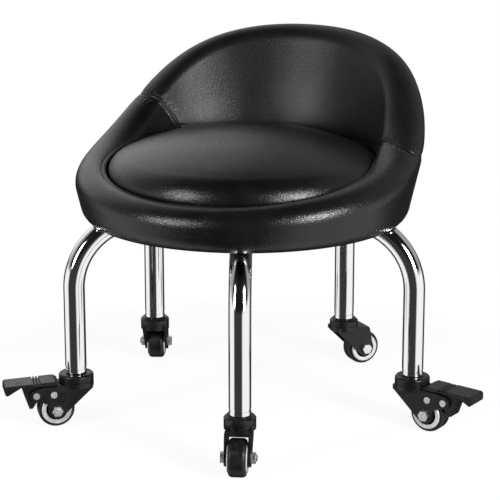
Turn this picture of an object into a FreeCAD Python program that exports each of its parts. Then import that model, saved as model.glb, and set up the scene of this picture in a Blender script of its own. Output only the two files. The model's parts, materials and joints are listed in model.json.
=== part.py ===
import FreeCAD, Part
import Sketcher
import math
import os
import re

# Low rolling stool: a padded bucket seat on five bent chromed legs with swivel casters.
# The origin is on the floor under the seat's axis, +Z is up and the sitter faces -Y.

# Driving dimensions in millimetres; names that end in _deg are degrees and in _share plain shares
DIMENSIONS = {
    # Wheels
    "wheel_diameter": 38.0,
    "wheel_width": 18.0,
    "tyre_shoulder": 4.0,
    "hub_radius": 12.0,
    "hub_dish": 3.0,
    "hub_slope": 1.5,
    "boss_radius": 6.0,
    "boss_clearance": 0.5,
    "trim_outer_radius": 15.5,
    "trim_inner_radius": 11.0,
    "trim_thickness": 0.8,
    # Axles
    "sleeve_radius": 4.0,
    "axle_radius": 3.0,
    "axle_head_radius": 5.7,
    "axle_head_height": 4.0,
    "axle_nut_height": 4.5,
    "axle_tip": 1.5,
    "running_clearance": 0.05,
    # Forks
    "trail": 22.0,
    "crown_clearance": 3.5,
    "fork_gap": 21.0,
    "cheek_thickness": 2.5,
    "axle_lobe": 9.0,
    "crown_radius": 15.9,
    "brake_crown_radius": 18.0,
    "crown_thickness": 5.5,
    "crown_inset": 2.4,
    "swivel_gap": 0.5,
    "race_radius": 9.5,
    "race_depth": 1.1,
    "hood_tail": 5.0,
    "hood_drop": 2.8,
    "hood_thickness": 2.5,
    # Brakes
    "pivot_offset": 21.0,
    "pivot_drop": 11.0,
    "pivot_lobe": 6.0,
    "pivot_radius": 3.0,
    "rivet_offset": 3.0,
    "rivet_radius": 2.2,
    "rivet_head_radius": 3.45,
    "rivet_head_height": 1.2,
    "cheek_rise": 7.0,
    "hood_setback": 7.5,
    "pedal_clearance": 1.5,
    "pedal_width": 26.0,
    "pedal_start_gap": 1.5,
    "pedal_tip_offset": 32.0,
    "pedal_rise": 3.0,
    "pedal_thickness": 4.0,
    "pedal_slope": 2.0,
    "pedal_tip_depth": 10.0,
    "pedal_tip_radius": 3.0,
    "pedal_neck_offset": 15.0,
    "shoe_tip_rise": 2.5,
    "shoe_clearance": 5.5,
    "shoe_thickness": 3.5,
    "shoe_heel_drop": 1.5,
    "shoe_heel_setback": 5.0,
    "ridge_pitch": 3.0,
    "ridge_depth": 0.8,
    # Swivel stems and caps
    "socket_wall": 4.0,
    "stem_length": 30.0,
    "stem_chamfer": 1.2,
    "grip_groove_depth": 0.6,
    "grip_groove_height": 2.0,
    "kingpin_shoulder": 1.5,
    "kingpin_head_overhang": 2.0,
    "kingpin_head_height": 2.4,
    "kingpin_head_gap": 0.3,
    "cap_height": 7.5,
    "cap_chamfer": 2.6,
    "washer_radius": 9.0,
    "washer_thickness": 1.3,
    "socket_flange": 1.0,
    "socket_flange_inset": 0.5,
    "socket_length": 34.0,
    # Legs
    "leg_reach": 32.0,
    "leg_first_deg": 3.45,
    "tube_diameter": 22.0,
    "tube_wall": 1.5,
    "leg_straight": 89.0,
    "bend_radius": 68.0,
    "leg_inner_radius": 42.0,
    "vent_rise": 3.0,
    "vent_radius": 2.5,
    "crimp_height": 4.0,
    "crimp_width": 2.0,
    "crimp_depth": 0.4,
    "plug_cap": 2.0,
    "plug_insert": 10.0,
    # Leg fasteners
    "leg_bolt_radius": 3.0,
    "leg_bolt_clearance": 0.3,
    "leg_bolt_head_radius": 5.7,
    "leg_bolt_head_height": 4.0,
    "leg_bolt_setback": 10.0,
    "leg_bolt_inset": 18.0,
    "tee_barrel_radius": 4.2,
    "tee_barrel_length": 9.0,
    "tee_flange_radius": 9.5,
    "tee_flange_thickness": 1.5,
    # Seat board, dust cover and back panel
    "board_radius": 150.0,
    "board_thickness": 15.0,
    "dust_cover_thickness": 1.0,
    "dust_cover_inset": 4.0,
    "panel_thickness": 6.0,
    "panel_height": 75.0,
    "panel_span_deg": 120.0,
    "screw_radius": 2.0,
    "screw_head_radius": 4.0,
    "screw_length": 25.0,
    "screw_step_deg": 25.0,
    # Bolster: a padded ring that rises into the back
    "bolster_offset": 1.5,
    "bolster_half_width": 19.0,
    "bolster_drop": 18.0,
    "ring_rise": 12.5,
    "back_rise": 145.0,
    "back_lean": 26.0,
    "side_lean": 3.0,
    "back_slope_share": 0.32,
    "tube_relief": 11.0,
    "soft_gap": 0.4,
    # Cushion
    "cushion_inset": 5.0,
    "cushion_foot_inset": 16.0,
    "cushion_bulge_rise": 12.0,
    "cushion_edge_radius": 26.0,
    "cushion_height": 56.0,
    "cushion_crown_rise": 18.0,
    # One overrun for every cut
    "overrun": 5.0,
}

# Values that follow from the driving dimensions
DERIVED = {
    "wheel_radius": "wheel_diameter / 2",
    "half_width": "wheel_width / 2",
    "axle_height": "wheel_diameter / 2",
    "boss_half": "fork_gap / 2 - boss_clearance",
    "half_gap": "fork_gap / 2",
    "half_fork": "fork_gap / 2 + cheek_thickness",
    "fork_width": "fork_gap + 2 * cheek_thickness",
    "lobe_share": "sqrt(0.5)",
    "crown_bottom": "wheel_diameter + crown_clearance",
    "crown_top": "crown_bottom + crown_thickness",
    "cap_bottom": "crown_top + swivel_gap",
    "cap_top": "cap_bottom + cap_height",
    "tube_end_height": "cap_top + socket_flange",
    "kingpin_head_top": "crown_bottom - kingpin_head_gap",
    "stem_top": "tube_end_height + stem_length",
    "tube_radius": "tube_diameter / 2",
    "bore_radius": "tube_diameter / 2 - tube_wall",
    "stem_radius": "bore_radius - socket_wall",
    "kingpin_radius": "stem_radius - kingpin_shoulder",
    "kingpin_head_radius": "kingpin_radius + kingpin_head_overhang",
    "leg_rise": "leg_straight + bend_radius",
    "leg_circle_radius": "board_radius + leg_reach",
    "leg_run": "leg_circle_radius - leg_inner_radius",
    "leg_bolt_outer": "leg_circle_radius - bend_radius - leg_bolt_setback",
    "leg_bolt_inner": "leg_inner_radius + leg_bolt_inset",
    "vent_height": "leg_straight + vent_rise",
    "tube_top": "tube_end_height + leg_rise + tube_radius",
    "board_bottom": "tube_top + dust_cover_thickness",
    "board_top": "board_bottom + board_thickness",
    "panel_outer_radius": "board_radius + panel_thickness",
    "bolster_mid_radius": "board_radius + bolster_offset",
    "bolster_bottom": "board_bottom - bolster_drop",
    "ring_top": "board_top + ring_rise",
    "back_top": "board_top + back_rise",
    "tube_relief_radius": "board_radius + tube_relief",
    "cushion_radius": "board_radius - cushion_inset",
    "cushion_foot_radius": "cushion_radius - cushion_foot_inset",
    "cushion_bulge_height": "board_top + cushion_bulge_rise",
    "cushion_crown_top": "board_top + cushion_height",
    "pivot_reach": "trail + pivot_offset",
    "pivot_height": "crown_top - pivot_drop",
    "rivet_reach": "trail + rivet_offset",
    "hood_end_reach": "pivot_reach - hood_setback",
    "shoe_reach": "trail + wheel_radius + shoe_clearance",
    "shoe_tip_height": "axle_height + shoe_tip_rise",
    "shoe_heel_reach": "pivot_reach - shoe_heel_setback",
    "shoe_heel_height": "pivot_height - shoe_heel_drop",
    "pedal_start_reach": "brake_crown_radius + pedal_start_gap",
    "pedal_neck_reach": "pivot_reach + pedal_neck_offset",
    "pedal_tip_reach": "pivot_reach + pedal_tip_offset",
    "pedal_top": "crown_top + pedal_rise",
    "pedal_under": "pedal_top - pedal_thickness",
    "pedal_tip_top": "pedal_top - pedal_slope",
}

# Legs and casters in order round the floor, seen from the front
PLACES = ("right", "back", "back_left", "front_left", "front")
TRAIL_HEADINGS_DEG = {"right": 349.0, "back": 48.0, "back_left": 111.0, "front_left": 216.0, "front": 288.0}
BRAKED = ("right", "front_left")
BACK_DEG = 90.0
FULL_TURN_DEG = 360.0
QUARTER_TURN_DEG = 90.0
HEX_SIDES = 6
BACK_SCREWS = 5
BOLSTER_STEPS = 15
BACK_FALL_POWER = 5.4

ORIGIN = FreeCAD.Vector(0, 0, 0)
UP = FreeCAD.Vector(0, 0, 1)
ALONG_X = FreeCAD.Vector(1, 0, 0)

doc = FreeCAD.newDocument("rolling_stool")
sheet = doc.addObject("Spreadsheet::Sheet", "Dimensions")
derived = doc.addObject("App::VarSet", "Derived")
nodes = []


def fill_dimensions():
    """Write the driving dimensions to the sheet and bind the values that follow from them."""
    for row, (alias, value) in enumerate(DIMENSIONS.items(), start=1):
        sheet.set(f"A{row}", alias)
        sheet.set(f"B{row}", str(value))
        sheet.setAlias(f"B{row}", alias)
    doc.recompute()
    for name, formula in DERIVED.items():
        derived.addProperty("App::PropertyFloat", name)
        derived.setExpression(name, bound(formula))
    doc.recompute()


def bound(formula):
    """Spell a formula with references to the sheet and to the derived values."""
    def reference(match):
        word = match.group(0)
        if word in DIMENSIONS:
            return f"Dimensions.{word}"
        if word in DERIVED:
            return f"Derived.{word}"
        return word
    return re.sub(r"[a-z][a-z_]*", reference, formula)


def size(formula):
    """Work a formula out to a number."""
    return float(sheet.evalExpression(bound(formula)))


def bind(thing, **sizes):
    """Bind an object's properties to formulas."""
    for name, formula in sizes.items():
        thing.setExpression(name, bound(formula))
    return thing


def new_body(name):
    """Start a body."""
    return doc.addObject("PartDesign::Body", name)


def new_sketch(body, plane):
    """Start a sketch on one of a body's own origin planes."""
    sketch = body.newObject("Sketcher::SketchObject", "Outline")
    support = [item for item in body.Origin.OriginFeatures if item.Role == plane][0]
    sketch.AttachmentSupport = [(support, "")]
    sketch.MapMode = "FlatFace"
    return sketch


def arc_between(start, end, radius, turn):
    """An arc of under a half circle from start to end, turning left (ccw) or right (cw)."""
    chord = end - start
    middle = (start + end) * 0.5
    rise = math.sqrt(max(radius ** 2 - chord.Length ** 2 / 4, 0))
    left = FreeCAD.Vector(-chord.y, chord.x, 0).normalize()
    centre = middle + left * (rise if turn == "ccw" else -rise)
    first, last = (start, end) if turn == "ccw" else (end, start)
    angles = [math.atan2(point.y - centre.y, point.x - centre.x) for point in (first, last)]
    return Part.ArcOfCircle(Part.Circle(centre, UP, radius), angles[0], angles[1])


def trace(sketch, corners, closed=True):
    """Draw an outline through corners (x, y), or (x, y, turn, radius) where an arc arrives."""
    points = [FreeCAD.Vector(size(corner[0]), size(corner[1]), 0) for corner in corners]
    count = len(corners)
    first = sketch.GeometryCount
    ends = []
    rules = []
    formulas = []
    for index in range(count if closed else count - 1):
        start = points[index]
        end = points[(index + 1) % count]
        arrival = corners[(index + 1) % count]
        if len(arrival) == 2:
            sketch.addGeometry(Part.LineSegment(start, end), False)
            ends.append((1, 2))
            continue
        sketch.addGeometry(arc_between(start, end, size(arrival[3]), arrival[2]), False)
        ends.append((1, 2) if arrival[2] == "ccw" else (2, 1))
        rules.append(Sketcher.Constraint("Radius", first + index, size(arrival[3])))
        formulas.append(arrival[3])
    for index, corner in enumerate(corners):
        edge = min(index, len(ends) - 1)
        spot = (first + edge, ends[edge][0] if index < len(ends) else ends[edge][1])
        for axis, formula in zip(("DistanceX", "DistanceY"), corner):
            rules.append(Sketcher.Constraint(axis, spot[0], spot[1], size(formula)))
            formulas.append(formula)
    for index in range(len(ends) if closed else len(ends) - 1):
        following = (index + 1) % len(ends)
        joint = (first + index, ends[index][1], first + following, ends[following][0])
        rules.append(Sketcher.Constraint("Coincident", *joint))
    numbers = sketch.addConstraint(rules)
    for number, formula in zip(numbers, formulas):
        sketch.setExpression(f"Constraints[{number}]", bound(formula))
    return sketch


def ring_at(sketch, across, along, radius):
    """Draw a circle at a bound place with a bound radius."""
    centre = FreeCAD.Vector(size(across), size(along), 0)
    number = sketch.addGeometry(Part.Circle(centre, UP, size(radius)), False)
    rules = [Sketcher.Constraint("DistanceX", number, 3, centre.x),
             Sketcher.Constraint("DistanceY", number, 3, centre.y),
             Sketcher.Constraint("Radius", number, size(radius))]
    for place, formula in zip(sketch.addConstraint(rules), (across, along, radius)):
        sketch.setExpression(f"Constraints[{place}]", bound(formula))
    return sketch


def revolved(name, corners):
    """A body turned about its own Z axis from an outline of (radius, height) corners."""
    body = new_body(name)
    turn_outline(body, corners, "PartDesign::Revolution")
    return body


def turn_outline(body, corners, kind):
    """Add or cut a turned outline on a body."""
    sketch = trace(new_sketch(body, "XZ_Plane"), corners)
    feature = body.newObject(kind, "Turned")
    feature.Profile = sketch
    feature.ReferenceAxis = (sketch, ["V_Axis"])
    feature.Angle = FULL_TURN_DEG
    return feature


def slab(body, corners, width):
    """Pad a side outline equally to both sides of the XZ plane."""
    feature = body.newObject("PartDesign::Pad", "Slab")
    feature.Profile = trace(new_sketch(body, "XZ_Plane"), corners)
    feature.SideType = "Symmetric"
    return bind(feature, Length=width)


def slot(body, corners, width):
    """Cut a side outline equally to both sides of the XZ plane."""
    feature = body.newObject("PartDesign::Pocket", "Slot")
    feature.Profile = trace(new_sketch(body, "XZ_Plane"), corners)
    feature.SideType = "Symmetric"
    return bind(feature, Length=width)


def drill(body, plane, places, through=None, symmetric=False, forward=False):
    """Cut round holes at (x, y, radius) places on a plane, right through or to a depth."""
    sketch = new_sketch(body, plane)
    for place in places:
        ring_at(sketch, *place)
    feature = body.newObject("PartDesign::Pocket", "Drilled")
    feature.Profile = sketch
    feature.SideType = "Symmetric" if symmetric else "One side"
    feature.Reversed = forward
    if through:
        return bind(feature, Length=through)
    feature.Type = "ThroughAll"
    return feature


def moved(x=0, y=0, z=0, axis=UP, angle=0):
    """A placement from a shift and a turn."""
    return FreeCAD.Placement(FreeCAD.Vector(x, y, z), FreeCAD.Rotation(axis, angle))


def group(name, members):
    """Several solids as one object."""
    compound = doc.addObject("Part::Compound", name)
    compound.Links = members
    return compound


def node(thing, name, placement=None):
    """Name a finished sub-part and put it in its place."""
    thing.Label = name
    if placement:
        thing.Placement = placement
    nodes.append(thing)
    return thing


def cut(name, base, tool):
    """One object cut by another."""
    feature = doc.addObject("Part::Cut", name)
    feature.Base = base
    feature.Tool = tool
    return feature


def cylinder(name, radius, height, placement=None):
    """A plain cylinder of bound size."""
    feature = bind(doc.addObject("Part::Cylinder", name), Radius=radius, Height=height)
    if placement:
        feature.Placement = placement
    return feature


def hexagon(name, radius, height, placement=None):
    """A hexagonal prism of bound size."""
    feature = bind(doc.addObject("Part::Prism", name), Circumradius=radius, Height=height)
    feature.Polygon = HEX_SIDES
    if placement:
        feature.Placement = placement
    return feature


def leg_deg(place):
    """The direction of a leg round the seat's axis."""
    return size("leg_first_deg") + PLACES.index(place) * FULL_TURN_DEG / len(PLACES)


def leg_placement(place):
    """A leg's frame: at the tube's lower end, Z up and X towards the seat's axis."""
    turn = math.radians(leg_deg(place))
    reach = size("leg_circle_radius")
    return moved(reach * math.cos(turn), reach * math.sin(turn), size("tube_end_height"),
                 UP, leg_deg(place) + FULL_TURN_DEG / 2)


def caster_placement(place):
    """A caster's frame: on the floor under its stem, X along its trail."""
    turn = math.radians(leg_deg(place))
    reach = size("leg_circle_radius")
    return moved(reach * math.cos(turn), reach * math.sin(turn), 0, UP, TRAIL_HEADINGS_DEG[place])


def wheel_placement(place):
    """A wheel's frame: at its centre with Z along the axle."""
    hub_centre = moved(size("trail"), 0, size("axle_height"), ALONG_X, QUARTER_TURN_DEG)
    return caster_placement(place).multiply(hub_centre)


def build_tyre(place):
    corners = [("hub_radius", "-half_width"), ("wheel_radius - tyre_shoulder", "-half_width"),
               ("wheel_radius", "tyre_shoulder - half_width", "ccw", "tyre_shoulder"),
               ("wheel_radius", "half_width - tyre_shoulder"),
               ("wheel_radius - tyre_shoulder", "half_width", "ccw", "tyre_shoulder"),
               ("hub_radius", "half_width")]
    return node(revolved("tyre", corners), f"tyre_{place}", wheel_placement(place))


def build_hub(place):
    bore = "sleeve_radius + running_clearance"
    floor = "half_width - hub_dish"
    corners = [(bore, "-boss_half"), ("boss_radius", "-boss_half"), ("boss_radius", f"-({floor})"),
               ("trim_inner_radius - hub_slope", f"-({floor})"), ("trim_inner_radius", "-half_width"),
               ("hub_radius", "-half_width"), ("hub_radius", "half_width"),
               ("trim_inner_radius", "half_width"), ("trim_inner_radius - hub_slope", floor),
               ("boss_radius", floor), ("boss_radius", "boss_half"), (bore, "boss_half")]
    return node(revolved("hub", corners), f"wheel_hub_{place}", wheel_placement(place))


def build_trim_rings(place):
    rings = []
    for side in ("", "-"):
        corners = [("trim_inner_radius", f"{side}half_width"), ("trim_outer_radius", f"{side}half_width"),
                   ("trim_outer_radius - trim_thickness", f"{side}(half_width + trim_thickness)"),
                   ("trim_inner_radius", f"{side}(half_width + trim_thickness)")]
        rings.append(revolved("trim_ring", corners))
    return node(group("trim_rings", rings), f"trim_rings_{place}", wheel_placement(place))


def build_axle_set(place):
    """The axle bolt, its nut, and the sleeve that the wheel runs on."""
    shank = cylinder("axle_shank", "axle_radius", "fork_width + axle_nut_height + axle_tip",
                     moved(z=-size("half_fork + axle_nut_height + axle_tip")))
    head = hexagon("axle_head", "axle_head_radius", "axle_head_height", moved(z=size("half_fork")))
    bolt = doc.addObject("Part::Fuse", "axle_bolt")
    bolt.Base = head
    bolt.Tool = shank
    nut_place = moved(z=-size("half_fork + axle_nut_height"))
    nut = cut("axle_nut", hexagon("nut_blank", "axle_head_radius", "axle_nut_height", nut_place),
              cylinder("nut_bore", "axle_radius", "axle_nut_height", nut_place))
    sleeve = revolved("axle_sleeve", [("axle_radius", "-half_gap"), ("sleeve_radius", "-half_gap"),
                                      ("sleeve_radius", "half_gap"), ("axle_radius", "half_gap")])
    return node(group("axle_set", [bolt, nut, sleeve]), f"axle_set_{place}", wheel_placement(place))


def build_fork(place):
    """A moulded fork: round crown, two cheeks and a hood over the wheel."""
    braked = place in BRAKED
    radius = "brake_crown_radius" if braked else "crown_radius"
    body = revolved("fork", [("0", "crown_bottom"), (radius, "crown_bottom"), (radius, "crown_top"),
                             ("race_radius", "crown_top"), ("race_radius", "crown_top - race_depth"),
                             ("0", "crown_top - race_depth")])
    lobe = "axle_lobe * lobe_share"
    shoulder = "crown_top - race_depth"
    corners = [(f"crown_inset - {radius}", "crown_bottom"),
               (f"trail - {lobe}", f"axle_height - {lobe}"),
               ("trail + axle_lobe", "axle_height", "ccw", "axle_lobe")]
    if braked:
        corners += [("trail + axle_lobe", "axle_height + cheek_rise"),
                    ("pivot_reach", "pivot_height - pivot_lobe"),
                    ("pivot_reach + pivot_lobe", "pivot_height", "ccw", "pivot_lobe"),
                    ("pivot_reach", "pivot_height + pivot_lobe", "ccw", "pivot_lobe"),
                    ("hood_end_reach", "crown_bottom + hood_thickness")]
    else:
        corners += [("trail + hood_tail", "crown_bottom"),
                    ("trail + hood_tail - hood_thickness / 2", "crown_bottom + hood_thickness")]
    corners += [(radius, "crown_top - race_depth - hood_thickness / 2"), ("race_radius", shoulder),
                (f"crown_inset - {radius}", shoulder)]
    slab(body, corners, "fork_width")
    far = "pivot_reach + pivot_lobe + overrun"
    room = [(f"-({radius}) - overrun", "-overrun"), (far, "-overrun")]
    if braked:
        room += [(far, "crown_top + overrun"), ("hood_end_reach", "crown_top + overrun"),
                 ("hood_end_reach", "crown_bottom")]
    else:
        room += [(far, "crown_bottom")]
    room += [(f"-({radius}) - overrun", "crown_bottom")]
    slot(body, room, "fork_gap")
    turn_outline(body, [("0", "crown_bottom - overrun"),
                        ("kingpin_radius + running_clearance", "crown_bottom - overrun"),
                        ("kingpin_radius + running_clearance", "crown_top + overrun"),
                        ("0", "crown_top + overrun")], "PartDesign::Groove")
    holes = [("trail", "axle_height", "axle_radius")]
    if braked:
        holes += [("pivot_reach", "pivot_height", "pivot_radius"),
                  ("rivet_reach", "pivot_height", "rivet_radius")]
    drill(body, "XZ_Plane", holes, "fork_width + overrun", symmetric=True)
    return node(body, f"fork_{place}", caster_placement(place))


def build_brake_rivets(place):
    """The pedal's pivot pin and two short rivets through the cheeks."""
    pin = revolved("pivot_pin", [("0", "-half_fork - rivet_head_height"),
                                 ("rivet_head_radius", "-half_fork - rivet_head_height"),
                                 ("rivet_head_radius", "-half_fork"), ("pivot_radius", "-half_fork"),
                                 ("pivot_radius", "half_fork"), ("rivet_head_radius", "half_fork"),
                                 ("rivet_head_radius", "half_fork + rivet_head_height"),
                                 ("0", "half_fork + rivet_head_height")])
    pieces = [pin]
    shift = moved(x=size("rivet_reach - pivot_reach"))
    for side in ("", "-"):
        rivet = revolved("rivet", [("0", f"{side}half_gap"), ("rivet_radius", f"{side}half_gap"),
                                   ("rivet_radius", f"{side}half_fork"),
                                   ("rivet_head_radius", f"{side}half_fork"),
                                   ("rivet_head_radius", f"{side}(half_fork + rivet_head_height)"),
                                   ("0", f"{side}(half_fork + rivet_head_height)")])
        rivet.Placement = shift
        pieces.append(rivet)
    pivot = moved(size("pivot_reach"), 0, size("pivot_height"), ALONG_X, QUARTER_TURN_DEG)
    return node(group("brake_rivets", pieces), f"brake_rivets_{place}",
                caster_placement(place).multiply(pivot))


def build_pedal(place):
    """A brake pedal: a wide foot plate with grip ridges, and a narrow shoe between the cheeks."""
    body = new_body("pedal")
    slab(body, [("pedal_start_reach", "pedal_under"), ("pedal_neck_reach", "pedal_under"),
                ("pedal_tip_reach - pedal_tip_radius", "pedal_tip_top - pedal_tip_depth"),
                ("pedal_tip_reach", "pedal_tip_top - pedal_tip_depth + pedal_tip_radius", "ccw",
                 "pedal_tip_radius"),
                ("pedal_tip_reach", "pedal_tip_top - pedal_tip_radius"),
                ("pedal_tip_reach - pedal_tip_radius", "pedal_tip_top", "ccw", "pedal_tip_radius"),
                ("pedal_start_reach + pedal_thickness", "pedal_top"),
                ("pedal_start_reach", "pedal_top - pedal_slope")], "pedal_width")
    slab(body, [("shoe_heel_reach", "shoe_heel_height"), ("shoe_reach", "shoe_tip_height"),
                ("shoe_reach + shoe_thickness", "shoe_tip_height"),
                ("pivot_reach + 2 * pivot_lobe", "pivot_height"),
                ("pedal_neck_reach", "pedal_under"), ("pedal_neck_reach", "pedal_under + pedal_slope"),
                ("shoe_heel_reach", "pedal_under + pedal_slope")], "fork_gap - 2 * pedal_clearance")
    drill(body, "XZ_Plane", [("pivot_reach", "pivot_height", "pivot_radius + running_clearance")],
          "pedal_width + overrun", symmetric=True)
    for step in ("0", "ridge_pitch", "2 * ridge_pitch"):
        start = f"shoe_heel_reach + {step}"
        depth = "pedal_top - pedal_slope - ridge_depth"
        slot(body, [(start, depth), (f"{start} + ridge_pitch / 2", depth),
                    (f"{start} + ridge_pitch / 2", "pedal_top + overrun"),
                    (start, "pedal_top + overrun")], "pedal_width + overrun")
    return node(body, f"brake_pedal_{place}", caster_placement(place))


def build_stem(place):
    """The fixed stem: a kingpin that the fork turns on, and a shank with a grip groove."""
    groove_low = "stem_top - 3 * grip_groove_height"
    groove_high = "stem_top - 2 * grip_groove_height"
    corners = [("0", "kingpin_head_top - kingpin_head_height"),
               ("kingpin_radius", "kingpin_head_top - kingpin_head_height"),
               ("kingpin_head_radius", "kingpin_head_top - kingpin_head_height / 2"),
               ("kingpin_head_radius", "kingpin_head_top"), ("kingpin_radius", "kingpin_head_top"),
               ("kingpin_radius", "cap_bottom"), ("stem_radius", "cap_bottom"),
               ("stem_radius", groove_low), ("stem_radius - grip_groove_depth", groove_low),
               ("stem_radius - grip_groove_depth", groove_high), ("stem_radius", groove_high),
               ("stem_radius", "stem_top - stem_chamfer"), ("stem_radius - stem_chamfer", "stem_top"),
               ("0", "stem_top")]
    return node(revolved("stem", corners), f"caster_stem_{place}", caster_placement(place))


def build_cap(place):
    """The fixed cap over the swivel, bevelled on plain casters and rounded on braked ones."""
    radius = "brake_crown_radius" if place in BRAKED else "crown_radius"
    corners = [("stem_radius", "cap_bottom"), (radius, "cap_bottom"), (radius, "cap_top - cap_chamfer"),
               (f"{radius} - cap_chamfer", "cap_top"), ("stem_radius", "cap_top")]
    if place in BRAKED:
        corners[3] += ("ccw", "cap_chamfer")
    return node(revolved("cap", corners), f"swivel_cap_{place}", caster_placement(place))


def build_thrust_washers():
    """The washers that the forks turn against."""
    washers = []
    for place in PLACES:
        bore = "kingpin_radius + running_clearance"
        washer = revolved("thrust_washer", [(bore, "cap_bottom - washer_thickness"),
                                            ("washer_radius", "cap_bottom - washer_thickness"),
                                            ("washer_radius", "cap_bottom"), (bore, "cap_bottom")])
        washer.Placement = caster_placement(place)
        washers.append(washer)
    return node(group("washers", washers), "thrust_washers")


def build_sockets():
    """The plastic sockets that hold the stems in the tubes."""
    sockets = []
    for place in PLACES:
        socket = revolved("socket", [("stem_radius", "-socket_flange"),
                                     ("tube_radius - socket_flange_inset", "-socket_flange"),
                                     ("tube_radius - socket_flange_inset", "0"), ("bore_radius", "0"),
                                     ("bore_radius", "socket_length"), ("stem_radius", "socket_length")])
        socket.Placement = leg_placement(place)
        sockets.append(socket)
    return node(group("sockets", sockets), "stem_sockets")


def build_leg(place):
    """One tube: up from the caster, round a bend and in under the seat board."""
    body = new_body("leg")
    section = new_sketch(body, "XY_Plane")
    ring_at(section, "0", "0", "tube_radius")
    ring_at(section, "0", "0", "bore_radius")
    spine = trace(new_sketch(body, "XZ_Plane"),
                  [("0", "0"), ("0", "leg_straight"), ("bend_radius", "leg_rise", "cw", "bend_radius"),
                   ("leg_run", "leg_rise")], closed=False)
    pipe = body.newObject("PartDesign::AdditivePipe", "Tube")
    pipe.Profile = section
    pipe.Spine = (spine, [])
    drill(body, "XY_Plane", [(f"leg_circle_radius - {reach}", "0", "leg_bolt_radius + leg_bolt_clearance")
                             for reach in ("leg_bolt_outer", "leg_bolt_inner")], forward=True)
    drill(body, "YZ_Plane", [("0", "vent_height", "vent_radius")], "tube_diameter", forward=True)
    turn_outline(body, [("tube_radius - crimp_depth", "crimp_height"),
                        ("tube_radius + crimp_depth", "crimp_height - crimp_depth"),
                        ("tube_radius + crimp_depth", "crimp_height + crimp_width + crimp_depth"),
                        ("tube_radius - crimp_depth", "crimp_height + crimp_width")], "PartDesign::Groove")
    return node(body, f"leg_{place}", leg_placement(place))


def build_leg_plugs():
    """Caps in the inner ends of the tubes."""
    plugs = []
    for place in PLACES:
        plug = revolved("plug", [("0", "-plug_insert"), ("bore_radius", "-plug_insert"), ("bore_radius", "0"),
                                 ("tube_radius", "0"), ("tube_radius", "plug_cap"), ("0", "plug_cap")])
        end = moved(size("leg_run"), 0, size("leg_rise"), FreeCAD.Vector(0, 1, 0), QUARTER_TURN_DEG)
        plug.Placement = leg_placement(place).multiply(end)
        plugs.append(plug)
    return node(group("plugs", plugs), "leg_end_plugs")


def bolt_frames():
    """The ten places of the leg bolts, at floor height, along the legs."""
    frames = []
    for place in PLACES:
        turn = math.radians(leg_deg(place))
        for reach in (size("leg_bolt_outer"), size("leg_bolt_inner")):
            frames.append(moved(reach * math.cos(turn), reach * math.sin(turn)))
    return frames


def build_leg_bolts():
    bolts = []
    seat = "tube_top - tube_diameter"
    for frame in bolt_frames():
        bolt = revolved("leg_bolt", [("0", f"{seat} - leg_bolt_head_height"),
                                     ("leg_bolt_head_radius", f"{seat} - leg_bolt_head_height"),
                                     ("leg_bolt_head_radius", seat), ("leg_bolt_radius", seat),
                                     ("leg_bolt_radius", "board_top - tee_flange_thickness"),
                                     ("0", "board_top - tee_flange_thickness")])
        bolt.Placement = frame
        bolts.append(bolt)
    return node(group("bolts", bolts), "leg_bolts")


def build_tee_nuts():
    nuts = []
    for frame in bolt_frames():
        nut = revolved("tee_nut", [("leg_bolt_radius", "board_top - tee_barrel_length"),
                                   ("tee_barrel_radius", "board_top - tee_barrel_length"),
                                   ("tee_barrel_radius", "board_top - tee_flange_thickness"),
                                   ("tee_flange_radius", "board_top - tee_flange_thickness"),
                                   ("tee_flange_radius", "board_top"), ("leg_bolt_radius", "board_top")])
        nut.Placement = frame
        nuts.append(nut)
    return node(group("nuts", nuts), "tee_nuts")


def back_screws(name):
    """Countersunk screws through the back panel into the edge of the board."""
    screws = []
    for index in range(BACK_SCREWS):
        heading = BACK_DEG + (index - BACK_SCREWS // 2) * size("screw_step_deg")
        head = "screw_head_radius - screw_radius"
        screw = revolved("back_screw", [("0", "-screw_length"),
                                        ("screw_radius", "-screw_length + screw_radius"),
                                        ("screw_radius", f"-({head})"),
                                        ("screw_head_radius", "0"), ("0", "0")])
        turn = math.radians(heading)
        reach = size("panel_outer_radius")
        flat = moved(reach * math.cos(turn), reach * math.sin(turn),
                     size("board_bottom + board_thickness / 2"), UP, heading)
        screw.Placement = flat.multiply(moved(axis=FreeCAD.Vector(0, 1, 0), angle=QUARTER_TURN_DEG))
        screws.append(screw)
    return group(name, screws)


def build_board():
    """The plywood disc that carries everything, drilled for the tee nuts and the back screws."""
    body = revolved("board_disc", [("0", "board_bottom"), ("board_radius", "board_bottom"),
                                   ("board_radius", "board_top"), ("0", "board_top")])
    holes = []
    for reach in ("leg_bolt_outer", "leg_bolt_inner"):
        holes.append(turned_hole(body, reach))
    pattern = body.newObject("PartDesign::PolarPattern", "Legs")
    pattern.Originals = holes
    pattern.Axis = ([item for item in body.Origin.OriginFeatures if item.Role == "Z_Axis"][0], [""])
    pattern.Angle = FULL_TURN_DEG
    pattern.Occurrences = len(PLACES)
    body.Tip = pattern
    body.Placement = moved(angle=leg_deg(PLACES[0]))
    return node(cut("board", body, back_screws("board_screw_holes")), "seat_board")


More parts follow.
